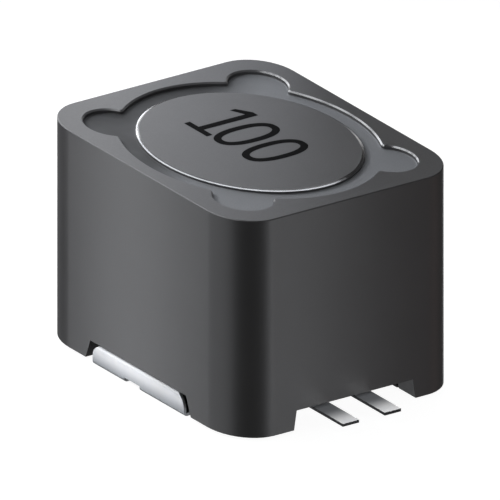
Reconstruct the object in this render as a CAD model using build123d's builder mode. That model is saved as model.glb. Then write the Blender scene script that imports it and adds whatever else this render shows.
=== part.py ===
# A shielded surface-mount power inductor, in millimetres, +Z up.
# A ferrite drum with a copper winding stands on a moulded base inside a square ferrite sleeve.
# The origin is the centre of the square, on the plane of the solder feet.
# The terminals are on the -X and +X faces, and their two lead tabs stand out of the -Y face.
from build123d import *

import os
from math import acos, atan2, degrees, sqrt, tan

# Sleeve
body_side = 12.0          # width and depth of the square sleeve
sleeve_height = 9.6
corner_radius = 1.9       # upright outer corners
side_wall = 0.7           # thinnest wall, beside the bore
pocket_wall = 0.93        # wall beside a glue pocket
pocket_radius = 1.22      # glue pocket in each corner of the bore
pocket_blend = 0.15       # rounds the ridge where a pocket meets the bore
outer_chamfer = 0.03
rim_chamfer = 0.06
stand_gap = 0.15          # lower edge of the sleeve above the board

# Winding
wire_diameter = 0.56
coil_end_gap = 0.2        # least room above and below the turns
post_fit = 0.02
layer_nesting = 0.9       # second layer's step, in wire diameters
turn_sides = 6            # facets of a turn's section
lead_bend = 0.5
lead_clearance = 0.09     # on each side of a lead in the ring
lead_sink = 0.05          # lead's root inside its turn

# Drum core
flange_thickness = 1.3
post_radius = 2.3
post_blend = 0.2
flange_chamfer = 0.06
bevel_width = 0.12        # wide, low bevel round the face that shows
bevel_depth = 0.05
drum_recess = 0.03        # upper flange below the sleeve's top

# Terminal strip
sheet = 0.13
bend_inner = 0.05
seat_height = 0.97        # top of the base and of the strips let into it
plate_width = 5.43
plate_corner = 0.6
foot_length = 2.4
top_flange_length = 1.7
slot_width = 0.93         # slot in the bent lower edge
slot_height = 0.22
slot_depth = 0.7
slot_offset = 0.39

# Lead tabs
tab_width = 0.87
tab_pitch = 2.24
tab_reach = 1.24          # beyond the face of the sleeve
tab_drop = 0.33           # tab below the strip that it comes from
joggle_run = 0.14
joggle_margin = 0.01
lead_foot_gap = 0.08      # lead's foot to the joggle
arm_lap = 0.45            # arm's root inside the top flange
arm_inset = 0.11          # its side beyond the plate's rounded corner
arm_forward = 0.75        # straight run behind the base's front edge

# Notches in the lower edge of the sleeve
plate_side_gap = 0.135
notch_flare = 0.33        # each side of a plate's notch leans out by this at the board
tab_side_gap = 1.55       # beside the tabs
tab_notch_flare = 0.165
tab_notch_offset = 0.2    # this notch's middle from the tabs' middle
ceiling_gap = 0.03        # air above the base under a notch

# Base
base_fit = 0.12           # base to the bore
block_inset = 0.1         # block inside each terminal's wrap, from the rounded corners
glue_pad_length = 6.4     # raised pad under the middle of the base
glue_pad_width = 6.0
glue_pad_gap = 0.05       # pad above the board

# Resin and solder
resin_recess = 0.2        # resin below the sleeve's top
resin_lip = 0.13          # flange left bare below the resin
solder_wall = 0.09
solder_toe = 0.2
solder_height = 0.22
solder_slope = 0.05       # bevel round the mound's top

# Places across the part that follow from these
face = body_side / 2
bore_radius = face - side_wall
pocket_offset = face - pocket_wall - pocket_radius
ring_gap = wire_diameter + 2 * lead_clearance
flange_radius = bore_radius - ring_gap
coil_inner = post_radius + post_fit
outer_turns = coil_inner + wire_diameter * (layer_nesting + 0.5)
bend_middle = bend_inner + sheet / 2
tab_notch_width = tab_pitch + tab_width + 2 * tab_side_gap
plate_notch_width = plate_width + 2 * plate_side_gap
arm_side = plate_corner + arm_inset + tab_width / 2
block_width = plate_width - 2 * (plate_corner + block_inset)

# Heights that follow from these
sleeve_top = stand_gap + sleeve_height
notch_ceiling = seat_height + ceiling_gap
drum_top = sleeve_top - drum_recess
window_low = seat_height + flange_thickness
window_high = drum_top - flange_thickness
strip_middle = seat_height - sheet / 2
tab_middle = strip_middle - tab_drop
tab_top = tab_middle + sheet / 2
resin_top = sleeve_top - resin_recess
resin_floor = window_high + resin_lip

# Leads and tabs, from the ring outwards
tab_x = tab_pitch / 2
lead_circle = bore_radius - ring_gap / 2
lead_y = -sqrt(lead_circle**2 - tab_x**2)
bend_setback = bend_middle * tan(atan2(tab_drop, joggle_run) / 2)
tab_start = lead_y + wire_diameter / 2 + lead_foot_gap
joggle_end = tab_start + bend_setback
joggle_start = joggle_end + joggle_run
base_front = joggle_start + bend_setback + joggle_margin


def bore_outline(fit=0.0):
    """The bore with its four glue pockets, drawn inside its wall by the fit."""
    with BuildSketch() as outline:
        Circle(bore_radius)
        with GridLocations(2 * pocket_offset, 2 * pocket_offset, 2, 2):
            Circle(pocket_radius)
        fillet(outline.vertices(), pocket_blend)
        if fit:
            offset(amount=-fit)
    return outline.sketch


def notch_outline(plane, middle, width, flare):
    """A notch in the sleeve's lower edge, narrower at its ceiling than at its foot."""
    with BuildSketch(plane) as outline:
        with BuildLine():
            Polyline(
                (middle - width / 2 - flare, 0),
                (middle - width / 2, notch_ceiling),
                (middle + width / 2, notch_ceiling),
                (middle + width / 2 + flare, 0),
                close=True,
            )
        make_face()
    return outline.sketch


def save(builder, node):
    """Labels a finished piece and writes its file."""
    builder.part.label = node
    export_step(builder.part, f"parts/{node}.step")


os.makedirs("parts", exist_ok=True)

# Sleeve of pressed ferrite
with BuildPart() as shield_core:
    with BuildSketch(Plane.XY.offset(stand_gap)):
        RectangleRounded(body_side, body_side, corner_radius)
        add(bore_outline(), mode=Mode.SUBTRACT)
    extrude(amount=sleeve_height)
    ring = shield_core.faces().sort_by(Axis.Z)[-1]
    chamfer(ring.outer_wire().edges(), outer_chamfer)
    ring = shield_core.faces().sort_by(Axis.Z)[-1]
    chamfer(ring.inner_wires()[0].edges(), rim_chamfer)
    plate_notch = notch_outline(Plane.YZ, 0, plate_notch_width, notch_flare)
    extrude(plate_notch, amount=body_side, both=True, mode=Mode.SUBTRACT)
    tab_notch = notch_outline(Plane.XZ, tab_notch_offset, tab_notch_width, tab_notch_flare)
    extrude(tab_notch, amount=body_side, both=True, mode=Mode.SUBTRACT)
save(shield_core, "shield_core")

# Drum: two flanges and a post, turned as one piece
with BuildPart() as drum_core:
    with BuildSketch(Plane.XZ) as drum_section:
        with BuildLine():
            Polyline(
                (0, seat_height),
                (flange_radius, seat_height),
                (flange_radius, window_low),
                (post_radius, window_low),
                (post_radius, window_high),
                (flange_radius, window_high),
                (flange_radius, drum_top - bevel_depth),
                (flange_radius - bevel_width, drum_top),
                (0, drum_top),
                close=True,
            )
        make_face()
        fillet(drum_section.vertices().group_by(Axis.X)[1], post_blend)
        rims = drum_section.vertices().group_by(Axis.X)[-1].sort_by(Axis.Y)
        chamfer(rims[:3], flange_chamfer)
    revolve(axis=Axis.Z)
save(drum_core, "drum_core")

# Winding: turns round the post, and two leads that leave at a tangent and drop to the tabs
turns = int((window_high - window_low - 2 * coil_end_gap) / wire_diameter)
coil_middle = (window_low + window_high) / 2
lowest_turn = coil_middle - (turns - 1) / 2 * wire_diameter
lead_angle = atan2(lead_y, tab_x) + acos((outer_turns - lead_sink) / lead_circle)
lead_root = Vector(outer_turns - lead_sink, 0, lowest_turn).rotate(Axis.Z, degrees(lead_angle))

with BuildPart() as winding:
    with BuildSketch(Plane.XZ):
        with Locations(((coil_inner + outer_turns) / 2, coil_middle)):
            Rectangle(outer_turns - coil_inner, turns * wire_diameter)
        with Locations((outer_turns, coil_middle)):
            with GridLocations(0, wire_diameter, 1, turns):
                RegularPolygon(wire_diameter / 2, turn_sides, rotation=180 / turn_sides)
    revolve(axis=Axis.Z)
    with BuildLine() as start_lead:
        FilletPolyline(
            lead_root,
            (tab_x, lead_y, lowest_turn),
            (tab_x, lead_y, tab_top),
            radius=lead_bend,
        )
    with BuildSketch(start_lead.line ^ 0):
        Circle(wire_diameter / 2)
    sweep(path=start_lead.line)
    mirror(about=Plane.YZ)
save(winding, "winding")

# Terminals: one strip wraps the base's edge, crosses its top and steps down into a tab
with BuildPart() as terminal_right:
    with BuildSketch(Plane.XZ):
        with BuildLine():
            FilletPolyline(
                (face - foot_length, sheet / 2),
                (face - sheet / 2, sheet / 2),
                (face - sheet / 2, strip_middle),
                (face - top_flange_length, strip_middle),
                radius=bend_middle,
            )
        trace(line_width=sheet)
    extrude(amount=plate_width / 2, both=True)
    with BuildSketch(Plane.YZ) as plate_outline:
        with Locations((0, seat_height / 2)):
            Rectangle(plate_width, seat_height)
        fillet(plate_outline.vertices().group_by(Axis.Y)[-1], plate_corner)
    extrude(amount=body_side, mode=Mode.INTERSECT)
    with BuildSketch(Plane.XY.offset(strip_middle - sheet / 2)):
        with BuildLine():
            Polyline(
                (face - top_flange_length + arm_lap, arm_side - plate_width / 2),
                (tab_x, base_front + arm_forward),
                (tab_x, base_front),
            )
        trace(line_width=tab_width)
    extrude(amount=sheet)
    with BuildSketch(Plane.YZ.offset(tab_x - tab_width / 2)):
        with BuildLine():
            FilletPolyline(
                (base_front, strip_middle),
                (joggle_start, strip_middle),
                (joggle_end, tab_middle),
                (-face - tab_reach, tab_middle),
                radius=bend_middle,
            )
        trace(line_width=sheet)
    extrude(amount=tab_width)
    with BuildSketch(Plane.XY):
        with Locations((face, slot_offset)):
            Rectangle(2 * slot_depth, slot_width)
    extrude(amount=slot_height, mode=Mode.SUBTRACT)
save(terminal_right, "terminal_right")

with BuildPart() as terminal_left:
    mirror(terminal_right.part, about=Plane.YZ)
save(terminal_left, "terminal_left")

# Base: moulded round the two terminals, keyed into the pockets, with a raised pad for glue
with BuildPart() as terminal_base:
    with BuildSketch(Plane.XY.offset(sheet)):
        add(bore_outline(base_fit))
        Rectangle(2 * (face - sheet - bend_inner), block_width)
    extrude(amount=seat_height - sheet)
    front_plane = Plane.XZ.offset(-base_front)
    front_notch = notch_outline(front_plane, tab_notch_offset, tab_notch_width, tab_notch_flare)
    extrude(front_notch, amount=face, mode=Mode.SUBTRACT)
    with BuildSketch(Plane.XY.offset(glue_pad_gap)):
        Rectangle(glue_pad_length, glue_pad_width)
    extrude(amount=sheet - glue_pad_gap)
    add(terminal_right.part, mode=Mode.SUBTRACT)
    add(terminal_left.part, mode=Mode.SUBTRACT)
save(terminal_base, "terminal_base")

# Solder that joins each lead to its tab
solder_inner = tab_start - joggle_margin
solder_outer = lead_y - wire_diameter / 2 - solder_toe
for node, side in (("start_solder", 1), ("finish_solder", -1)):
    with BuildPart() as solder:
        with BuildSketch(Plane.XY.offset(tab_top)):
            with Locations((side * tab_x, (solder_inner + solder_outer) / 2)):
                Rectangle(wire_diameter + 2 * solder_wall, solder_inner - solder_outer)
        extrude(amount=solder_height)
        fillet(solder.edges().filter_by(Axis.Z), solder_wall)
        chamfer(solder.edges().group_by(Axis.Z)[-1], solder_slope)
        add(winding.part, mode=Mode.SUBTRACT)
    save(solder, node)

# Resin in the ring between the drum's upper flange and the sleeve
with BuildPart() as gap_resin:
    with BuildSketch(Plane.XY.offset(resin_floor)):
        add(bore_outline())
        Circle(flange_radius, mode=Mode.SUBTRACT)
    extrude(amount=resin_top - resin_floor)
save(gap_resin, "gap_resin")
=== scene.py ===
# %% [markdown]
# # Dressing a shielded power inductor
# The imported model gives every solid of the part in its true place: the ferrite sleeve and drum, the
# resin between them, the winding, the moulded base, the two tinned terminals and their solder joints.
# This lesson gives each of them its finish and makes the surfaces that a solid modeller leaves plain.
# The frame comes first, because every size below is read from it.

# %% Load the frame
import math

import bpy
import numpy as np
from mathutils import Matrix, Vector


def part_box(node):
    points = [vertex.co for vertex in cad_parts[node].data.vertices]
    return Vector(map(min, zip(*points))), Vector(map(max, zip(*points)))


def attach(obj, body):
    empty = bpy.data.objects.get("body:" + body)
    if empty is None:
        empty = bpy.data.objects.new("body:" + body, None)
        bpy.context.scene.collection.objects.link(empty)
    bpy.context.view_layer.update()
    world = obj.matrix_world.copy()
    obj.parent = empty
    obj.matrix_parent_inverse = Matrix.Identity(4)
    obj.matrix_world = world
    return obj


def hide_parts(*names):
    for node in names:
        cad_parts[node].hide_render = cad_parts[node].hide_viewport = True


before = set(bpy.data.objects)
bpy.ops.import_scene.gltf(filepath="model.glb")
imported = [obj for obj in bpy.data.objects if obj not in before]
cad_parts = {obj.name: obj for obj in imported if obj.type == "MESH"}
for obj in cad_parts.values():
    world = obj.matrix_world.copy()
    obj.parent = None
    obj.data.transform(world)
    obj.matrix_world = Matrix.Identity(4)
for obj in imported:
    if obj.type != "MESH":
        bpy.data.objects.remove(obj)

bpy.context.view_layer.update()

# %% [markdown]
# ## Sizes
# The part is only 12 mm wide and Blender works in metres, so one value turns a size in millimetres
# into metres. What the frame already holds is measured there, so that a surface made here still fits
# when the solid model changes. Only two small radii can't be read from a box or a row of points.

# %% Sizes from the frame
MM = 0.001
pocket_radius = 1.22 * MM
ridge_radius = 0.15 * MM          # rounds the ridge between a pocket and the bore


def solid_points(name):
    """The corners of a solid's mesh, one row of X, Y and Z for each."""
    return np.array([vertex.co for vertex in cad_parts[name].data.vertices])


sleeve_low, sleeve_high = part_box("shield_core")
resin_low, resin_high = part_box("gap_resin")
drum_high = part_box("drum_core")[1]
bore_radius = resin_high.x
flange_radius = drum_high.x
resin_points = solid_points("gap_resin")
pocket_centre = np.hypot(resin_points[:, 0], resin_points[:, 1]).max() - pocket_radius
sleeve_points = solid_points("shield_core")
on_side = sleeve_points[:, 0] > sleeve_high.x - 0.001 * MM
corner_centre = float(np.abs(sleeve_points[on_side, 1]).max())
print("ring is", round((bore_radius - flange_radius) / MM, 3), "mm wide and",
      round((sleeve_high.z - resin_high.z) / MM, 3), "mm deep")
print("corner radius is", round((sleeve_high.x - corner_centre) / MM, 3), "mm")

# %% [markdown]
# ## One function for nodes, one for colours
# A material here is a short list of nodes. Writing each one with its settings and its links in a
# single call keeps the recipe readable. Several sockets of a node can have the same name, such as the
# A of every data type of a Mix node, so the function looks for the one that is in use. Colours are
# given as the hex values that a painter would pick on screen, and one function turns them into the
# linear values that light is computed with.

# %% One function for colours
def linear(hex_colour):
    """sRGB hex to linear: below 0.04045 a straight line, above it a power of 2.4."""
    channels = np.array([int(hex_colour[i:i + 2], 16) for i in (1, 3, 5)]) / 255
    low, high = channels / 12.92, ((channels + 0.055) / 1.055) ** 2.4
    return (*np.where(channels <= 0.04045, low, high), 1.0)


# %% One function for nodes
def node(tree, kind, inputs=None, **settings):
    """Adds a node with its settings. An input takes a value, a hex colour, a socket or a node."""
    made = tree.nodes.new("ShaderNode" + kind)
    for key, value in settings.items():
        setattr(made, key, value)
    for key, value in (inputs or {}).items():
        in_use = [socket for socket in made.inputs if socket.enabled and socket.name == key]
        socket = in_use[0] if in_use else made.inputs[key]
        if isinstance(value, bpy.types.Node):
            value = [output for output in value.outputs if output.enabled][0]
        if isinstance(value, bpy.types.NodeSocket):
            tree.links.new(value, socket)
        else:
            socket.default_value = linear(value) if isinstance(value, str) else value
    return made


# %% Start and end of a material
def new_material(name):
    """An empty node material with its Object coordinates, in metres."""
    material = bpy.data.materials.new(name)
    material.use_nodes = True
    tree = material.node_tree
    tree.nodes.clear()
    return material, tree, node(tree, "TexCoord").outputs["Object"]


def finish_material(material, surface):
    """Sends a surface to the material's output and says what was made."""
    node(material.node_tree, "OutputMaterial", {"Surface": surface})
    print("material", material.name, "has", len(material.node_tree.nodes), "nodes")
    return material


# %% [markdown]
# ## What noise is good for
# No real surface has one flat colour or one gloss. Noise whose lumps have a real size makes it wander
# a little. Most of a noise lies between 0.3 and 0.7, so that stretch is spread over the values that are
# wanted. A colour is mixed from two in the same way, and a smooth step turns a place or an angle into
# a mask with soft edges.

# %% Settings that many nodes share
noise_span = {"From Min": 0.3, "From Max": 0.7}
smooth = {"interpolation_type": "SMOOTHSTEP"}


def octaves(count):
    """Settings of a noise with so many finer octaves on it, each 0.55 times as strong as the last."""
    return {"Detail": count, "Roughness": 0.55}


def mottled(tree, pattern, low, high):
    """A colour that drifts from one to another as the noise goes from 0.35 to 0.65."""
    share = node(tree, "MapRange", {"Value": pattern, "From Min": 0.35, "From Max": 0.65})
    return node(tree, "Mix", {"Factor": share, "A": low, "B": high}, data_type="RGBA")


# %% [markdown]
# ## Masks from the surface itself
# A slanted edge that a tool has run over is smoother than the faces beside it. A mask for it could be
# painted by hand, but the surface already knows where such edges are: their true normals point
# neither straight up nor level. A soft step at both ends of that range keeps the mask free of jags.

# %% Mask of the slanted edges
def slanted_edge(tree):
    """1 on a slanted edge face and 0 on level and upright faces, by the height of the true normal."""
    normal = node(tree, "NewGeometry").outputs["True Normal"]
    upward = node(tree, "SeparateXYZ", {"Vector": normal}).outputs["Z"]
    not_upright = node(tree, "MapRange", {"Value": upward, "From Min": 0.15, "From Max": 0.3}, **smooth)
    not_level = node(tree, "MapRange", {"Value": upward, "From Min": 0.985, "From Max": 0.96}, **smooth)
    return node(tree, "Math", {0: not_upright, 1: not_level}, operation="MULTIPLY")


# %% [markdown]
# ## Ferrite of the sleeve
# Both cores are pressed from nickel-zinc ferrite powder and fired. Fired ferrite is a dark ceramic
# with a high index of refraction, about 2.2, so it has a grey sheen at low angles although it hardly
# scatters any light. The sides of the sleeve slid along the wall of the die, which leaves faint upright
# lines. The grain is a few micrometres, far below a pixel, so it is drawn ten times too coarse. Lines
# and grain are bumps, which tilt the shading and leave the mesh as it is. The slanted rim of the bore
# is free of grain, and on the side where the deburring brush ran out it is polished as well, so there
# it catches a thin line of light.

# %% [markdown]
# The bore's rim and the sleeve's outer edge have the same slope, so the rim needs a second mark of its
# own: its normals point to the axis, and those of the outer edge point away from it.

# %% Mask of the bore's rim
def bore_rim(tree, where):
    """1 on the slanted rim of the bore, and 0 where (x, y, 0) . normal is over 2 mm, as outside."""
    outward = node(tree, "VectorMath", {0: where, 1: (1, 1, 0)}, operation="MULTIPLY")
    normal = node(tree, "NewGeometry").outputs["True Normal"]
    reach = node(tree, "VectorMath", {0: outward, 1: normal}, operation="DOT_PRODUCT")
    inside = node(tree, "MapRange", {"Value": reach, "From Min": 2 * MM, "From Max": 1 * MM}, **smooth)
    return node(tree, "Math", {0: slanted_edge(tree), 1: inside}, operation="MULTIPLY")


# %% [markdown]
# A solid's rounded corner comes as a few flat strips, and where it meets the flat side the shading
# would jump. More strips would hide that, but the solid's mesh is left as it is. The corner is a plain
# quarter circle, so its exact normal is worked out and used wherever a strip's own normal nearly
# agrees with it.

# %% Exact normal of the sleeve's outside
def sleeve_normal(tree, where):
    """(max(|x| - c, 0) sgn x, max(|y| - c, 0) sgn y, 0) made one long, with c the corner's centre."""
    centre = (corner_centre, corner_centre, 1)    # 1 m is above every point, so Z comes out as 0
    folded = node(tree, "VectorMath", {0: where}, operation="ABSOLUTE")
    past = node(tree, "VectorMath", {0: folded, 1: centre}, operation="SUBTRACT")
    past = node(tree, "VectorMath", {0: past, 1: (0, 0, 0)}, operation="MAXIMUM")
    sign = node(tree, "VectorMath", {0: where}, operation="SIGN")
    past = node(tree, "VectorMath", {0: past, 1: sign}, operation="MULTIPLY")
    exact = node(tree, "VectorMath", {0: past}, operation="NORMALIZE")
    exact = node(tree, "VectorTransform", {"Vector": exact}, vector_type="NORMAL",
                 convert_from="OBJECT", convert_to="WORLD")
    geometry = node(tree, "NewGeometry").outputs
    likeness = node(tree, "VectorMath", {0: exact, 1: geometry["True Normal"]}, operation="DOT_PRODUCT")
    agrees = node(tree, "MapRange", {"Value": likeness, "From Min": 0.98, "From Max": 0.99}, **smooth)
    return node(tree, "Mix", {"Factor": agrees, "A": geometry["Normal"], "B": exact}, data_type="VECTOR")


# %% Pressed ferrite
ferrite_index = 2.2
cloud_size = 2.5 * MM
sleeve_grain = 0.06 * MM          # ten times the real grain, which wouldn't show
grain_depth = 0.0016 * MM
drag_pitch = 0.16 * MM
drag_depth = 0.0010 * MM
drag_stretch = (1, 1, 0.03)       # draws the noise out along Z, the way the die moved
rim_grey = "#39393b"
rim_roughness = 0.2
polished_side = (1, -1, 0)        # the brush ran out past the middle in this direction
polish_starts, polish_full = -1 * MM, 0.5 * MM


def pressed_ferrite():
    """Fired nickel-zinc ferrite as pressed: satin, dark grey, with faint drag lines down its sides."""
    material, tree, where = new_material("pressed_nickel_zinc_ferrite")
    grain = node(tree, "TexNoise", {"Vector": where, "Scale": 1 / sleeve_grain, **octaves(4)})
    clouds = node(tree, "TexNoise", {"Vector": where, "Scale": 1 / cloud_size, **octaves(2)})
    upright = node(tree, "Mapping", {"Vector": where, "Scale": drag_stretch})
    drag = node(tree, "TexNoise", {"Vector": upright, "Scale": 1 / drag_pitch, **octaves(2)})
    rim = bore_rim(tree, where)
    sideways = node(tree, "VectorMath", {0: where, 1: polished_side}, operation="DOT_PRODUCT")
    brushed = node(tree, "MapRange", {"Value": sideways, "From Min": polish_starts,
                                      "From Max": polish_full}, **smooth)
    polished = node(tree, "Math", {0: rim, 1: brushed}, operation="MULTIPLY")
    satin = node(tree, "MapRange", {"Value": grain, **noise_span, "To Min": 0.40, "To Max": 0.48})
    no_grain = node(tree, "Mix", {"Factor": rim, "A": grain, "B": 0.5}, data_type="FLOAT")
    lines = node(tree, "Bump", {"Height": drag, "Strength": 1.0, "Distance": drag_depth,
                                "Normal": sleeve_normal(tree, where)})
    ceramic = mottled(tree, clouds, "#201f20", "#262526")
    surface = node(tree, "BsdfPrincipled", {
        "Base Color": node(tree, "Mix", {"Factor": rim, "A": ceramic, "B": rim_grey}, data_type="RGBA"),
        "Roughness": node(tree, "Mix", {"Factor": polished, "A": satin, "B": rim_roughness},
                          data_type="FLOAT"),
        "IOR": ferrite_index,
        "Normal": node(tree, "Bump", {"Height": no_grain, "Strength": 1.0, "Distance": grain_depth,
                                      "Normal": lines}),
    })
    return finish_material(material, surface)


sleeve_ferrite = pressed_ferrite()

# %% [markdown]
# ## Ferrite of the drum
# The drum is the same ceramic, but its faces are ground flat, and then it is tumbled. That burnishes
# the bevel round its top and makes it smoother. On the side towards the lights at the left, the bevel's
# outermost 0.07 mm is given a pale, nearly metallic colour, partly burnish and partly a painted
# highlight. The side away from the lights keeps the dark ceramic as painted shade. From a step away
# this is the thin white line round the disc. It could be a thin ring of its own, but a mask by slope,
# direction and distance from the axis needs no extra piece. The grain is drawn too coarse here as well.

# %% Ground ferrite
drum_cloud_size = 1.8 * MM
drum_grain = 0.05 * MM
drum_grain_depth = 0.0012 * MM
# the bevel's pale, nearly metallic strip: partly burnish and partly a painted highlight
burnish_and_highlight_grey = "#dadcdf"
burnish_and_highlight_metallic = 0.85
burnished_roughness = 0.2
burnish_and_highlight_width = 0.07 * MM
# the side that gets the painted highlight, towards the lights at the left
highlight_side = (-0.966, -0.259, 0)
highlight_side_starts, highlight_side_full = -0.02, 0.06    # cosines of the angle between a face and that side


def ground_ferrite():
    """The same ceramic, ground and tumbled: satin faces, and a bevel with a pale strip on one side, partly
    burnish and partly painted highlight.
    """
    material, tree, where = new_material("ground_nickel_zinc_ferrite")
    grain = node(tree, "TexNoise", {"Vector": where, "Scale": 1 / drum_grain, **octaves(4)})
    clouds = node(tree, "TexNoise", {"Vector": where, "Scale": 1 / drum_cloud_size, **octaves(2)})
    bevel = slanted_edge(tree)
    normal = node(tree, "NewGeometry").outputs["True Normal"]
    leaning = node(tree, "VectorMath", {0: normal, 1: highlight_side}, operation="DOT_PRODUCT")
    toward_highlight_side = node(tree, "MapRange", {"Value": leaning, "From Min": highlight_side_starts,
                                   "From Max": highlight_side_full}, **smooth)
    from_axis = node(tree, "VectorMath", {0: where, 1: (1, 1, 0)}, operation="MULTIPLY")
    radius = node(tree, "VectorMath", {0: from_axis}, operation="LENGTH")
    outermost = node(tree, "MapRange", {"Value": radius, "From Min": flange_radius - burnish_and_highlight_width,
                                        "From Max": flange_radius - 0.8 * burnish_and_highlight_width}, **smooth)
    # the strip is pale on that side only, as a painted highlight; the other side keeps painted shade
    highlight_side_bevel = node(tree, "Math", {0: bevel, 1: toward_highlight_side}, operation="MULTIPLY")
    burnish_and_highlight = node(tree, "Math", {0: highlight_side_bevel, 1: outermost}, operation="MULTIPLY")
    satin = node(tree, "MapRange", {"Value": grain, **noise_span, "To Min": 0.44, "To Max": 0.52})
    no_grain = node(tree, "Mix", {"Factor": bevel, "A": grain, "B": 0.5}, data_type="FLOAT")
    ceramic = mottled(tree, clouds, "#232223", "#292829")
    surface = node(tree, "BsdfPrincipled", {
        "Base Color": node(tree, "Mix", {"Factor": burnish_and_highlight, "A": ceramic, "B": burnish_and_highlight_grey},
                           data_type="RGBA"),
        "Metallic": node(tree, "Mix", {"Factor": burnish_and_highlight, "A": 0.0, "B": burnish_and_highlight_metallic},
                         data_type="FLOAT"),
        "Roughness": node(tree, "Mix", {"Factor": bevel, "A": satin, "B": burnished_roughness},
                          data_type="FLOAT"),
        "IOR": ferrite_index,
        "Normal": node(tree, "Bump", {"Height": no_grain, "Strength": 1.0, "Distance": drum_grain_depth}),
    })
    return finish_material(material, surface)


drum_ferrite = ground_ferrite()

# %% [markdown]
# ## Resin
# The ring and the four pockets are filled with an epoxy that fixes the drum in the sleeve. It is
# poured, levels itself and cures in an oven. Its mineral filler makes it a paler grey than the ferrite
# and takes its gloss, and it has slow waves where it shrank. Towards one end the colour is darkened as
# painted shade, so the left pocket, where the recess lies in shadow, is darker. One bump lies on the
# other, the waves below and the specks of filler above, and the specks are drawn coarser than they are.

# %% Cured epoxy
epoxy_index = 1.55
shrink_wave = 0.9 * MM
shrink_depth = 0.012 * MM
filler_speck = 0.05 * MM
speck_depth = 0.0008 * MM
# the darker grey is painted shade, strongest at the left pocket, where the recess lies in shadow
resin_shade_grey = "#1e1f21"
shade_direction = (1, -1.6, 0)     # from the dark pocket towards the pale ones
full_shade_at, shade_gone_at = -6.2 * MM, -1.4 * MM


def cured_epoxy():
    """Filled epoxy, poured and oven cured: mid grey, satin and slightly wavy, with painted shade at one
    end.
    """
    material, tree, where = new_material("filled_epoxy_resin")
    waves = node(tree, "TexNoise", {"Vector": where, "Scale": 1 / shrink_wave, **octaves(1)})
    filler = node(tree, "TexNoise", {"Vector": where, "Scale": 1 / filler_speck, **octaves(2)})
    # painted shade: the colour darkens along this direction towards the left pocket
    along_shade = node(tree, "VectorMath", {0: where, 1: shade_direction}, operation="DOT_PRODUCT")
    unshaded = node(tree, "MapRange", {"Value": along_shade, "From Min": full_shade_at, "From Max": shade_gone_at}, **smooth)
    skin = node(tree, "Bump", {"Height": waves, "Strength": 1.0, "Distance": shrink_depth})
    pale_resin = mottled(tree, filler, "#5a5c5f", "#646669")
    surface = node(tree, "BsdfPrincipled", {
        "Base Color": node(tree, "Mix", {"Factor": unshaded, "A": resin_shade_grey, "B": pale_resin},
                           data_type="RGBA"),
        "Roughness": node(tree, "MapRange", {"Value": waves, **noise_span, "To Min": 0.58, "To Max": 0.66}),
        "IOR": epoxy_index,
        "Normal": node(tree, "Bump", {"Height": filler, "Strength": 1.0, "Distance": speck_depth,
                                      "Normal": skin}),
    })
    return finish_material(material, surface)


epoxy = cured_epoxy()

# %% [markdown]
# ## Tin plate
# The terminals are stamped from tin-plated strip, and matt tin is a pale metal with soft, wide
# reflections and faint rolling lines. Its crystals scatter a part of the light, so it isn't wholly
# metallic here, and on the frosted skin of the tabs hardly at all. The plates at the sides are darker
# towards the board, as painted shade. The tabs are bright at their tips and darker towards the sleeve,
# as painted shade under the body. Where the press cut the tabs out, the bare edge is nearly black,
# partly tarnish and partly painted shade. Masks by place and by the way a face points do all of that,
# so that the solid needs no cuts. The rolling lines are drawn about twice too wide.

# %% Matt tin
tab_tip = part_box("terminal_left")[0].y
tab_root = sleeve_low.y
tab_starts, tab_full = tab_root + 1.1 * MM, tab_root + 0.8 * MM
# the plate is darkened below these heights as painted shade near the board
shade_full_height, shade_gone_height = 0.1 * MM, 0.75 * MM
plate_metallic, tab_metallic = 0.85, 0.1
rolling_pitch = 0.05 * MM
rolling_depth = 0.0012 * MM
rolling_stretch = (1, 0.05, 1)    # draws the noise out along Y, the way the strip was rolled
crystal_patch = 0.7 * MM
# the greys of the plate's foot and the tab's root are painted shade; the black is partly tarnish, partly
# painted shade
plate_shade_grey, tab_shade_grey, tarnish_and_shade_black = "#a9acaf", "#66686b", "#08080a"


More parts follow.
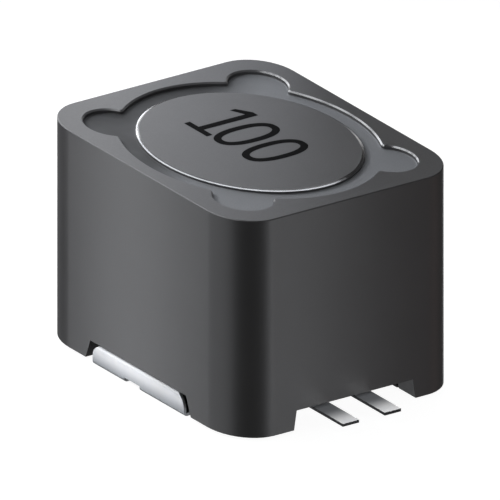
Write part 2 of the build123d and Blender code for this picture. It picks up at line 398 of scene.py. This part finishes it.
def tin_plate():
    """Matt electroplated tin on rolled strip: pale metal, soft reflections, lines along the strip."""
    material, tree, where = new_material("matt_tin_plated_strip")
    along_strip = node(tree, "Mapping", {"Vector": where, "Scale": rolling_stretch})
    rolled = node(tree, "TexNoise", {"Vector": along_strip, "Scale": 1 / rolling_pitch, **octaves(2)})
    patches = node(tree, "TexNoise", {"Vector": where, "Scale": 1 / crystal_patch, **octaves(2)})
    place = node(tree, "SeparateXYZ", {"Vector": where}).outputs
    normal = node(tree, "NewGeometry").outputs["True Normal"]
    upward = node(tree, "SeparateXYZ", {"Vector": normal}).outputs["Z"]
    level = node(tree, "Math", {0: upward}, operation="ABSOLUTE")
    on_tab = node(tree, "MapRange", {"Value": place["Y"], "From Min": tab_starts,
                                     "From Max": tab_full}, **smooth)
    not_level = node(tree, "MapRange", {"Value": level, "From Min": 0.6, "From Max": 0.4}, **smooth)
    cut_edge = node(tree, "Math", {0: on_tab, 1: not_level}, operation="MULTIPLY")
    above_shade = node(tree, "MapRange", {"Value": place["Z"], "From Min": shade_full_height,
                                     "From Max": shade_gone_height}, **smooth)
    # the tab darkens from its tip towards the sleeve as painted shade under the body
    toward_body_shade = node(tree, "MapRange", {"Value": place["Y"], "From Min": tab_tip,
                                       "From Max": tab_root}, **smooth)
    bright = mottled(tree, patches, "#eeeff1", "#f6f6f6")
    plate = node(tree, "Mix", {"Factor": above_shade, "A": plate_shade_grey, "B": bright}, data_type="RGBA")
    tab = node(tree, "Mix", {"Factor": toward_body_shade, "A": bright, "B": tab_shade_grey}, data_type="RGBA")
    plated = node(tree, "Mix", {"Factor": on_tab, "A": plate, "B": tab}, data_type="RGBA")
    surface = node(tree, "BsdfPrincipled", {
        # the cut edges are nearly black, partly tarnish and partly painted shade
        "Base Color": node(tree, "Mix", {"Factor": cut_edge, "A": plated, "B": tarnish_and_shade_black},
                           data_type="RGBA"),
        "Metallic": node(tree, "Mix", {"Factor": on_tab, "A": plate_metallic, "B": tab_metallic},
                         data_type="FLOAT"),
        "Roughness": node(tree, "MapRange", {"Value": patches, **noise_span,
                                             "To Min": 0.39, "To Max": 0.45}),
        "Normal": node(tree, "Bump", {"Height": rolled, "Strength": 1.0, "Distance": rolling_depth}),
    })
    return finish_material(material, surface)


tin = tin_plate()

# %% [markdown]
# ## Solder
# Solder is mostly tin that froze from a melt, so it is smoother and brighter than the matt plating,
# with a faint frost where crystals reached its skin. It could share the tin's material, but next to
# each other the two look different. The frost is drawn coarser than it is.

# %% Solder
frost_size = 0.06 * MM
frost_depth = 0.0012 * MM


def frozen_solder():
    """Tin-based solder frozen from a melt: bright, smooth, with a faint frost of crystals."""
    material, tree, where = new_material("tin_silver_solder")
    frost = node(tree, "TexNoise", {"Vector": where, "Scale": 1 / frost_size, **octaves(3)})
    surface = node(tree, "BsdfPrincipled", {
        "Base Color": mottled(tree, frost, "#c8cacc", "#dcdddf"),
        "Metallic": 1.0,
        "Roughness": node(tree, "MapRange", {"Value": frost, **noise_span, "To Min": 0.18, "To Max": 0.34}),
        "Normal": node(tree, "Bump", {"Height": frost, "Strength": 1.0, "Distance": frost_depth}),
    })
    return finish_material(material, surface)


solder = frozen_solder()

# %% [markdown]
# ## Enamelled copper
# Magnet wire is copper under a few hundredths of a millimetre of clear enamel, which is amber and
# glossy. A metal below and a tinted coat above show both: the coat's sharp highlight and the copper's
# broad one. The enamel has flowed into slow waves.

# %% Enamelled copper
enamel_flow = 0.3 * MM
enamel_depth = 0.002 * MM


def enamelled_copper():
    """Copper wire under a clear amber enamel: the metal's colour below, a glossy coat above."""
    material, tree, where = new_material("enamelled_copper_wire")
    flow = node(tree, "TexNoise", {"Vector": where, "Scale": 1 / enamel_flow, **octaves(2)})
    surface = node(tree, "BsdfPrincipled", {
        "Base Color": mottled(tree, flow, "#a04c22", "#b5602e"),
        "Metallic": 1.0,
        "Roughness": node(tree, "MapRange", {"Value": flow, **noise_span, "To Min": 0.24, "To Max": 0.34}),
        "Coat Weight": 0.8,
        "Coat Roughness": 0.08,
        "Coat Tint": "#e0a060",
        "Normal": node(tree, "Bump", {"Height": flow, "Strength": 1.0, "Distance": enamel_depth}),
    })
    return finish_material(material, surface)


copper = enamelled_copper()

# %% [markdown]
# ## Black moulding
# The base is moulded from a black thermoset with glass fibre in it, which stands the heat of
# soldering. The mould was spark eroded, and its fine craters make the plastic matt. As a mesh they
# would need millions of faces, so they are a bump as well. They are about 0.02 mm wide, and are drawn
# at twice that size.

# %% Black moulding
crater_size = 0.045 * MM
crater_depth = 0.003 * MM
moulding_flow = 1.2 * MM


def moulded_thermoset():
    """Black glass-filled thermoset with a spark-eroded mould texture: matt, with fine specks."""
    material, tree, where = new_material("black_glass_filled_thermoset")
    craters = node(tree, "TexNoise", {"Vector": where, "Scale": 1 / crater_size, **octaves(3)})
    flow = node(tree, "TexNoise", {"Vector": where, "Scale": 1 / moulding_flow, **octaves(2)})
    surface = node(tree, "BsdfPrincipled", {
        "Base Color": mottled(tree, flow, "#141415", "#1b1b1c"),
        "Roughness": node(tree, "MapRange", {"Value": craters, **noise_span,
                                             "To Min": 0.50, "To Max": 0.66}),
        "IOR": epoxy_index,
        "Normal": node(tree, "Bump", {"Height": craters, "Strength": 1.0, "Distance": crater_depth}),
    })
    return finish_material(material, surface)


thermoset = moulded_thermoset()

# %% [markdown]
# ## Marking ink
# The value is pad printed in a black ink that is baked on. Its soot breaks the surface, so it has
# hardly any sheen beside the ferrite, and it reads darker although both are nearly black. A high
# roughness alone would leave it a grey haze, so the strength of its reflection is lowered as well.

# %% Printing ink
film_lump = 0.08 * MM
lump_depth = 0.001 * MM


def printed_ink():
    """Black marking ink, pad printed and baked: matt, and darker than the ceramic under it."""
    material, tree, where = new_material("baked_black_marking_ink")
    film = node(tree, "TexNoise", {"Vector": where, "Scale": 1 / film_lump, **octaves(2)})
    surface = node(tree, "BsdfPrincipled", {
        "Base Color": mottled(tree, film, "#050505", "#0b0b0c"),
        "Roughness": node(tree, "MapRange", {"Value": film, **noise_span, "To Min": 0.7, "To Max": 0.8}),
        "IOR": 1.5,
        "Specular IOR Level": 0.05,
        "Normal": node(tree, "Bump", {"Height": film, "Strength": 1.0, "Distance": lump_depth}),
    })
    return finish_material(material, surface)


ink = printed_ink()

# %% [markdown]
# ## Finishes on the solids
# The solids of the frame keep their meshes and only get a material, so that they stay true to the
# real sizes. The other three, the resin and the two solder joints, are replaced by finer surfaces.

# %% Finish the solids
finishes = {
    "shield_core": sleeve_ferrite,
    "drum_core": drum_ferrite,
    "terminal_base": thermoset,
    "winding": copper,
    "terminal_left": tin,
    "terminal_right": tin,
}
for name, material in finishes.items():
    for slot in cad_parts[name].material_slots:
        slot.material = material
print("finished", len(finishes), "solids with", len(set(finishes.values())), "materials")

# %% [markdown]
# ## From arrays to a mesh
# A surface is a grid of points, worked out by a formula as one array. This function joins
# neighbouring points into four-sided faces. A grid can wrap round in both directions, which makes a
# closed ring with no seam and no pole.

# %% Grid to mesh
def ring_faces(rows, columns):
    """Quads of a grid that wraps both ways: corner (i, j) joins (i, j+1), (i+1, j+1) and (i+1, j)."""
    index = np.arange(rows * columns).reshape(rows, columns)
    right, below = np.roll(index, -1, 1), np.roll(index, -1, 0)
    corner = np.roll(right, -1, 0)
    return np.stack([index, right, corner, below], -1).reshape(-1, 4)


def new_piece(name, points, faces, material, crease=35):
    """Makes a mesh object at the origin from points in metres, smooth below the crease angle."""
    mesh = bpy.data.meshes.new(name)
    mesh.from_pydata(np.asarray(points).reshape(-1, 3).tolist(), [], [list(face) for face in faces])
    mesh.materials.append(material)
    mesh.shade_smooth()
    mesh.set_sharp_from_angle(angle=math.radians(crease))
    piece = bpy.data.objects.new(name, mesh)
    bpy.context.scene.collection.objects.link(piece)
    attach(piece, "root")
    print("piece", name, "has", len(mesh.vertices), "points and", len(mesh.polygons), "faces")
    return piece


# %% [markdown]
# ## The resin's surface
# Resin that was poured into a narrow gap climbs its walls a little before it sets. A flat face
# would look cut, so the fill is modelled again with that meniscus. Its outer edge follows the
# bore: an arc of the bore, a small arc round the ridge, and an arc of the pocket, eight times over.

# %% Outline of the bore
def arc(centre, radius, start, end, count):
    """Points at equal angles on a circle: centre + radius (cos a, sin a), without the last one."""
    angle = np.linspace(start, end, count, endpoint=False)
    return centre + radius * np.stack([np.cos(angle), np.sin(angle)], -1)


def bore_outline(arc_points=26):
    """One eighth is three tangent arcs. It is mirrored about 45 degrees and turned by quarter turns."""
    eighth = math.pi / 4
    pocket = pocket_centre * np.array([math.cos(eighth), math.sin(eighth)])
    to_ridge, from_pocket = bore_radius + ridge_radius, pocket_radius + ridge_radius
    cosine = (to_ridge**2 + pocket_centre**2 - from_pocket**2) / (2 * to_ridge * pocket_centre)
    turn = eighth - math.acos(cosine)
    ridge = to_ridge * np.array([math.cos(turn), math.sin(turn)])
    across = np.arctan2(*(pocket - ridge)[::-1])
    half = np.concatenate([
        arc(0, bore_radius, 0, turn, arc_points),
        arc(ridge, ridge_radius, turn - math.pi, across - 2 * math.pi, arc_points // 3),
        arc(pocket, pocket_radius, across - math.pi, eighth, arc_points),
    ])
    tip = pocket * (1 + pocket_radius / pocket_centre)
    quarter = np.concatenate([half, [tip], half[:0:-1, ::-1]])
    turns = [np.array([[math.cos(a), -math.sin(a)], [math.sin(a), math.cos(a)]])
             for a in np.arange(4) * math.pi / 2]
    return np.concatenate([quarter @ turn.T for turn in turns])


outline = bore_outline()
print("outline reaches", np.round(np.hypot(*outline.T).max() / MM, 3), "mm from the axis")

# %% Resin with its meniscus
meniscus_height = 0.025 * MM
meniscus_reach = 0.035 * MM


def resin_fill(across=18):
    """Rings between the flange and the bore: z = top + climb (exp(-inner/reach) + exp(-outer/reach))."""
    share = 0.5 - 0.5 * np.cos(np.linspace(0, math.pi, across))
    radius = np.hypot(*outline.T)
    inner = outline * (flange_radius / radius)[:, None]
    width = radius - flange_radius
    top = inner + share[:, None, None] * (outline - inner)
    from_flange, from_bore = share[:, None] * width, (1 - share)[:, None] * width
    climb = np.exp(-from_flange / meniscus_reach) + np.exp(-from_bore / meniscus_reach)
    height = resin_high.z + meniscus_height * climb
    foot = np.full_like(radius, resin_low.z)
    return np.concatenate([np.dstack([top, height]), np.dstack([[outline], [foot]]),
                           np.dstack([[inner], [foot]])])


fill = resin_fill()
resin = new_piece("resin_fill", fill, ring_faces(*fill.shape[:2])[:, ::-1], epoxy)
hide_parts("gap_resin")

# %% [markdown]
# ## Solder fillets
# Each lead ends on its tab in a joint of solder. The molten metal wets both and pulls itself up the
# wire, so its surface is hollow: steep at the wire and flat at its toe. The solid is a plain mound with
# sloped edges, so a hollow one with the same footprint and height stands in for it.

# %% Solder fillets
wire_radius = 0.28 * MM
wetted_share = 0.9                # the fillet starts just inside the wire, so that no gap shows
hollow = 2.2                      # 1 would be a straight cone, and more is hollower
footprint_squareness = 3.2        # exponent of the superellipse, 2 for a plain ellipse


def lead_axis(side):
    """Where a lead stands: the middle of the lowest points of the winding on that side of X = 0."""
    points = solid_points("winding")
    points = points[points[:, 0] * side > 0]
    lowest = points[points[:, 2] < points[:, 2].min() + 0.01 * MM]
    return (lowest.min(0)[:2] + lowest.max(0)[:2]) / 2


def solder_fillet(name, side, rings=14, samples=64):
    """From wire (s = 0) to toe (s = 1): place = wire + s (toe - wire), height = full (1 - s)^hollow."""
    low, high = (np.array(corner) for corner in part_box(name))
    angle = np.linspace(0, 2 * math.pi, samples, endpoint=False)
    circle = np.stack([np.cos(angle), np.sin(angle)], -1)
    rounded = np.sign(circle) * np.abs(circle) ** (2 / footprint_squareness)
    toe = (low + high)[:2] / 2 + rounded * (high - low)[:2] / 2
    wire = lead_axis(side) + wetted_share * wire_radius * circle
    share = np.linspace(0, 1, rings)[:, None, None]
    height = low[2] + (high[2] - low[2]) * (1 - share[..., 0]) ** hollow * np.ones(samples)
    surface = np.dstack([wire + share * (toe - wire), height])
    foot = np.dstack([[wire], [np.full(samples, low[2])]])
    points = np.concatenate([surface, foot])
    piece = new_piece(name + "_fillet", points, ring_faces(rings + 1, samples)[:, ::-1], solder)
    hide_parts(name)


solder_fillet("start_solder", 1)
solder_fillet("finish_solder", -1)

# %% [markdown]
# ## The value code
# Three plain digits on the drum give the value, and they read from the left terminal's side. A
# picture on the face would do, but it would blur close by, so each digit is a thin film of ink with a
# real thickness of a few micrometres. A nought is a ring between two superellipses, and the one is a
# flat outline of eleven corners.

# %% The noughts
digit_height = 3.2 * MM
nought_width = 1.42 * MM
side_stroke = 0.28 * MM
end_stroke = 0.34 * MM
squareness = 2.35                      # exponent of the superellipse, 2 for a plain ellipse
code_centre = (0.30 * MM, 0.36 * MM)   # on the drum, off its middle as printed
ink_film = 0.006 * MM
ink_key = 0.002 * MM                   # the film's foot below the drum's face


def on_drum(along, up, height):
    """Turns a digit's own axes onto the drum: it reads towards -Y and its top points to +X."""
    return np.stack([code_centre[0] + up, code_centre[1] - along, drum_high.z + height], -1)


def nought(name, middle, samples=96):
    """|x/a|^n + |y/b|^n = 1 for the outer and the inner edge, as (a sgn(c)|c|^(2/n), b sgn(s)|s|^(2/n))."""
    angle = np.linspace(0, 2 * math.pi, samples, endpoint=False)
    along = np.sign(np.cos(angle)) * np.abs(np.cos(angle)) ** (2 / squareness)
    up = np.sign(np.sin(angle)) * np.abs(np.sin(angle)) ** (2 / squareness)
    inset = np.array([0, 0, 1, 1])[:, None]
    height = np.array([-ink_key, ink_film, ink_film, -ink_key])[:, None] * np.ones(samples)
    wide = nought_width / 2 - inset * side_stroke
    tall = digit_height / 2 - inset * end_stroke
    points = on_drum(middle + wide * along, tall * up, height)
    return new_piece(name, points, ring_faces(4, samples), ink)


# %% The one
foot_width, foot_stroke, stem_width = 1.35 * MM, 0.30 * MM, 0.30 * MM
flag_reach, flag_height, flag_stroke = 0.72 * MM, 2.62 * MM, 0.27 * MM
flag_root = digit_height - 1.5 * flag_stroke     # where the flag's lower edge meets the stem


def one(name, middle):
    """The one's outline, lifted by the film: a foot bar, a stem and a short slanted flag."""
    foot, stem = foot_width / 2, stem_width / 2
    corners = np.array([
        (-foot, 0), (foot, 0), (foot, foot_stroke), (stem, foot_stroke), (stem, digit_height),
        (-stem, digit_height), (-flag_reach, flag_height + flag_stroke / 2),
        (-flag_reach, flag_height - flag_stroke / 2), (-stem, flag_root),
        (-stem, foot_stroke), (-foot, foot_stroke),
    ])
    count = len(corners)
    along, up = middle + corners[:, 0], corners[:, 1] - digit_height / 2
    points = np.concatenate([on_drum(along, up, np.full(count, level)) for level in (-ink_key, ink_film)])
    low, high = np.arange(count), np.arange(count) + count
    walls = np.stack([low, np.roll(low, -1), np.roll(high, -1), high], -1)
    return new_piece(name, points, [*walls, high, low[::-1]], ink, crease=20)


# %% The three digits
one_middle, first_nought_middle = -1.46 * MM, -0.19 * MM
digit_pitch = 1.68 * MM
digits = [
    one("digit_one", one_middle),
    nought("digit_nought_first", first_nought_middle),
    nought("digit_nought_second", first_nought_middle + digit_pitch),
]
reach = [corner[1] for digit in digits for corner in digit.bound_box]
print("the code is", round((max(reach) - min(reach)) / MM, 2), "mm long")

# %% [markdown]
# ## Floor
# The part stands on a plain white sheet that glows a little, as paper does over a light table. The
# lights further down reach below it, because the upright sides mirror what is below the horizon. So
# the sheet casts no shadow, sends no light onto the part and isn't mirrored in it.

# %% Floor
floor_half = 400 * MM
sheet_glow = 0.95
floor_mesh = bpy.data.meshes.new("floor")
floor_mesh.from_pydata([(-floor_half, -floor_half, 0), (floor_half, -floor_half, 0),
                        (floor_half, floor_half, 0), (-floor_half, floor_half, 0)], [], [(0, 1, 2, 3)])
floor = bpy.data.objects.new("floor", floor_mesh)
bpy.context.scene.collection.objects.link(floor)
sheet_material, tree, _ = new_material("white_sheet")
sheet = node(tree, "AddShader", {
    0: node(tree, "Emission", {"Color": "#ffffff", "Strength": sheet_glow}),
    1: node(tree, "BsdfDiffuse", {"Color": "#8a8a8a"}),
})
floor_mesh.materials.append(finish_material(sheet_material, sheet))
floor.visible_diffuse = floor.visible_glossy = floor.visible_shadow = False

# %% [markdown]
# ## World
# The camera sees plain white round the part. The part itself gets only a little light from there,
# or every edge would be pale: small dark objects get their form from few and narrow lights.

# %% World
seen_strength, ambient_strength = 1.0, 0.07
world = bpy.data.worlds.new("studio")
bpy.context.scene.world = world
world.use_nodes = True
tree = world.node_tree
tree.nodes.clear()
seen = node(tree, "Background", {"Color": "#ffffff", "Strength": seen_strength})
ambient = node(tree, "Background", {"Color": "#ffffff", "Strength": ambient_strength})
camera_ray = node(tree, "LightPath").outputs["Is Camera Ray"]
node(tree, "OutputWorld", {"Surface": node(tree, "MixShader", {0: camera_ray, 1: ambient, 2: seen})})
print("world has", len(tree.nodes), "nodes")

# %% [markdown]
# ## The camera
# The picture is a parallel projection, but an oblique one: the drawing's two side axes are not at the
# angles that a plain parallel camera gives. Three scales describe it, in pixels for each millimetre
# along X, Y and Z. A camera inside a slightly sheared frame draws exactly that projection. Its own
# axes are found so that X and Y across the picture have the wanted scales, and the frame's shear is
# split into a turn, a stretch and a turn, which are what an object and its parent can have.

# %% Camera axes
picture = 500                                    # pixels
right_scale = np.array([18.715, -16.788, 0.0])   # pixels to the right for each millimetre
up_scale = np.array([5.014, 9.693, 22.583])      # pixels up for each millimetre
top_centre = (250.42, 140.27)                    # where the middle of the sleeve's top is drawn
plane_scale = 22.0                               # pixels for each millimetre across the camera

view = np.cross(right_scale, up_scale)
view /= np.linalg.norm(view)
per_pixel = np.linalg.pinv(np.array([right_scale, up_scale]))
across, upward = plane_scale * per_pixel.T
x_axis = across + math.sqrt(1 - across @ across) * view
y_axis = upward - math.sqrt(1 - upward @ upward) * view
turn_out, stretch, turn_in = np.linalg.svd(np.column_stack([x_axis, y_axis, view]))
if np.linalg.det(turn_out) < 0:
    turn_out[:, 2] *= -1
    stretch[2] *= -1
if np.linalg.det(turn_in) < 0:
    turn_in[2] *= -1
    stretch[2] *= -1
print("camera looks from azimuth", round(math.degrees(math.atan2(view[0], -view[1])), 1),
      "elevation", round(math.degrees(math.asin(view[2])), 1))

# %% Camera
camera_distance = 60.0                           # millimetres
off_middle = np.array([picture / 2 - top_centre[0], top_centre[1] - picture / 2])
target = np.array([0, 0, sleeve_high.z / MM]) + per_pixel @ off_middle

rig = bpy.data.objects.new("camera_rig", None)
rig.rotation_mode = "QUATERNION"
rig.location = Vector(target + view * camera_distance) * MM
rig.rotation_quaternion = Matrix(turn_out.tolist()).to_quaternion()
rig.scale = stretch
bpy.context.scene.collection.objects.link(rig)
camera_data = bpy.data.cameras.new("camera")
camera_data.type = "ORTHO"
camera_data.ortho_scale = picture / plane_scale * MM
camera_data.clip_start, camera_data.clip_end = MM, 1000 * MM
camera = bpy.data.objects.new("camera", camera_data)
camera.parent = rig
camera.rotation_mode = "QUATERNION"
camera.rotation_quaternion = Matrix(turn_in.tolist()).to_quaternion()
bpy.context.scene.collection.objects.link(camera)
bpy.context.scene.camera = camera
print("camera sees", round(camera_data.ortho_scale / MM, 2), "mm across")

# %% [markdown]
# ## Softboxes
# Nearly all that shows on dark satin ceramic is the mirror image of the lights, so each light is a
# rectangle of even brightness, as a softbox is. It is described by the radiance that the eye would
# see in it, and its power follows from that and its size. Places and sizes are in millimetres.

# %% Softbox
cool, cooler, warm = "#f9fbff", "#f2f6ff", "#ffdcd4"


def softbox(name, place, aim, size, radiance, tint="#ffffff"):
    """A rectangular light of one radiance: its power is radiance times pi times its area."""
    data = bpy.data.lights.new(name, "AREA")
    data.shape = "RECTANGLE"
    data.color = linear(tint)[:3]
    data.size, data.size_y = size[0] * MM, size[1] * MM
    data.energy = radiance * math.pi * data.size * data.size_y
    light = bpy.data.objects.new(name, data)
    light.location = Vector(place) * MM
    light.rotation_euler = (Vector(aim) - Vector(place)).to_track_quat("-Z", "Y").to_euler()
    light.visible_camera = False
    bpy.context.scene.collection.objects.link(light)
    print("light", name, "gives", round(1000 * data.energy, 2), "milliwatts")
    return light


# %% [markdown]
# ## Strips for the upright sides
# Seen from above, an upright side mirrors what is below the horizon. A tall strip whose middle is
# below the floor therefore lights a side evenly from top to bottom, and its tone only changes
# sideways, as the picture has it. On each visible side a narrow strip makes the light band, and a
# wide, weak one fades it out. One lamp for all sides would light them alike, and the form would be
# lost.

# %% Strips
strip_height = -2


def strip(name, place, towards, size, radiance, tint="#ffffff"):
    """An upright softbox that faces level, with its middle at the height of all strips."""
    softbox(name, (*place, strip_height), (*towards, strip_height), size, radiance, tint)


strip("left_strip", (-13, 6.9), (0, 6.9), (3.5, 34), 2.7, cool)      # the light band of the left side
strip("left_fill", (-16, -3), (0, -3), (14, 34), 0.42, cool)         # from there to the near corner
strip("right_strip", (3.2, -16), (3.2, 0), (4, 34), 1.35, cool)      # the light band of the right side
strip("right_fill", (20, -14), (4, -6), (8, 34), 0.15, warm)         # from there to the far corner
strip("left_edge_strip", (-4, 18), (-4, 0), (10, 34), 0.14, cool)    # the left side's far corner
strip("far_side_strip", (18, 7), (0, 7), (12, 30), 1.4)              # the hidden side towards +X
strip("back_side_strip", (6, 18), (6, 0), (12, 30), 1.4)             # the hidden side towards +Y

# %% [markdown]
# ## Lights for the tin alone
# The tabs lie flat close to the floor and mirror the sky, and the strips don't reach there. A lamp
# that did would also wash out the ceramic. Cycles can link a light to a collection, so this one falls
# on the two terminals only.

# %% Lights for the tin alone
tin_only = bpy.data.collections.new("tin_pieces")
for name in ("terminal_left", "terminal_right"):
    tin_only.objects.link(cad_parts[name])
tab_light = softbox("tab_light", (4, -32, 18), (0, -6, 0), (18, 18), 12.0)
tab_light.light_linking.receiver_collection = tin_only

# %% [markdown]
# ## Lights for the resin alone
# The resin lies lower than the ceramic round it. A small, strong key light from the far left casts
# the shadow of the walls onto it, and two soft ones near by keep the rest of the ring pale.

# %% Lights for the resin alone
resin_only = bpy.data.collections.new("resin_pieces")
resin_only.objects.link(resin)
resin_lights = [
    softbox("resin_key", (-22, 14, 26), (0, 0, 10), (5, 5), 86.0),
    softbox("resin_front", (1, -7.5, 14.5), (0, -3.6, 9.5), (4, 4), 1.0),
    softbox("resin_back", (7.5, 3, 14.5), (3.6, 2, 9.5), (4, 4), 0.25),
]
for light in resin_lights:
    light.light_linking.receiver_collection = resin_only
print(len(resin_lights), "lights fall on the resin alone")

# %% [markdown]
# ## Sheen on the top
# A light over the part would be mirrored away from the camera. This one stands where the level top
# mirrors it to the eye, close by, so that the sheen fades from its brightest spot to the edges.

# %% Sheen on the top
top_middle = np.array([0, 0, sleeve_high.z / MM])
sheen_spot = top_middle + np.array([-1.7, 1.7, 0])    # the top is lightest left of its middle
sheen_distance = 15
mirrored_top = 2 * view[2] * np.array([0, 0, 1]) - view
softbox("top_sheen", sheen_spot + sheen_distance * mirrored_top, sheen_spot, (9, 12), 0.66, cooler)

# %% [markdown]
# ## Glints on the edges
# A narrow bevel only shines when it mirrors a light to the eye. Where that light must stand follows
# from the bevel's slope and the direction it faces, so lights are put just there: a row for the drum's
# low bevel and a row for the steeper rim of the bore. Each is so wide that its mirror image meets that
# of the next, or the line of light would break up into beads.

# %% Glints
glint_distance = 32
bevel_slope, rim_slope = 22.6, 45     # degrees from level


def glint(name, slope, facing, size, radiance):
    """A square light where an edge with normal n mirrors the view v to it: 2 (n . v) n - v."""
    tilt, turn = math.radians(slope), math.radians(facing)
    flat = math.sin(tilt)
    normal = np.array([flat * math.cos(turn), flat * math.sin(turn), math.cos(tilt)])
    mirrored = 2 * (normal @ view) * normal - view
    softbox(name, top_middle + glint_distance * mirrored, top_middle, (size, size), radiance, cool)


for facing in range(120, 265, 24):
    glint(f"glint_bevel_{facing}", bevel_slope, facing, size=11, radiance=1.2)
for facing in range(151, 220, 16):
    glint(f"glint_rim_{facing}", rim_slope, facing, size=12, radiance=3.8)

# %% [markdown]
# ## Colour management
# The hex colours are given as they should look on screen, so the plain transform shows them.

# %% Colour management
bpy.context.scene.view_settings.view_transform = "Standard"
print("view transform is", bpy.context.scene.view_settings.view_transform)

# %% [markdown]
# ## The end
# The last cell brings the scene up to date.

# %% The end
bpy.context.view_layer.update()
